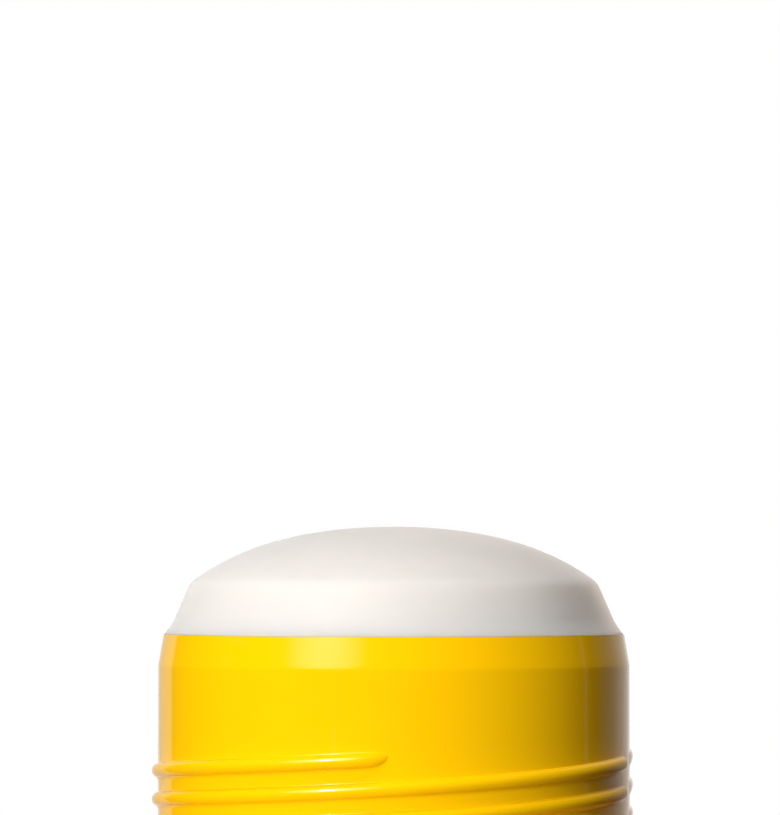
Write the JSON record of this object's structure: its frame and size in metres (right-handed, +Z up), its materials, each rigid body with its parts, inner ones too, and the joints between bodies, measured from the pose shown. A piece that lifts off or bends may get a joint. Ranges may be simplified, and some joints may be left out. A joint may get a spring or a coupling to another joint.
{
  "type": "deodorant stick",
  "caption": "Round twist-up deodorant stick without its cap: domed stick in a screw-necked barrel, raised by a hand wheel at the foot.",
  "frame": {"origin": "on the axis, on the plane of the foot under the hand wheel", "axes": "+Z up along the axis towards the dome, -Y the side that the picture shows"},
  "size_m": [0.0416, 0.0416, 0.0882],
  "materials": {
    "barrel": "glossy yellow moulding",
    "deodorant": "smooth waxy ivory",
    "platform": "natural white moulding",
    "lift_screw": "natural white moulding",
    "hand_wheel": "glossy yellow moulding"
  },
  "bodies": {
    "barrel": {"barrel": "barrel"},
    "wheel": {"hand_wheel": "hand_wheel", "lift_screw": "lift_screw"},
    "carrier": {"platform": "platform", "deodorant": "deodorant"}
  },
  "joints": [
    {"name": "wheel_turn", "type": "hinge", "parent": "barrel", "child": "wheel", "pos_m": [0, 0, 0.006], "axis": [0, 0, 1], "range_deg": [0, 3572]},
    {"name": "stick_lift", "type": "slide", "parent": "barrel", "child": "carrier", "axis": [0, 0, 1], "range_m": [0, 0.04961]}
  ],
  "couplings": [
    {"joint": "wheel_turn", "follows": "stick_lift", "rad_per_m": 1256.6}
  ]
}
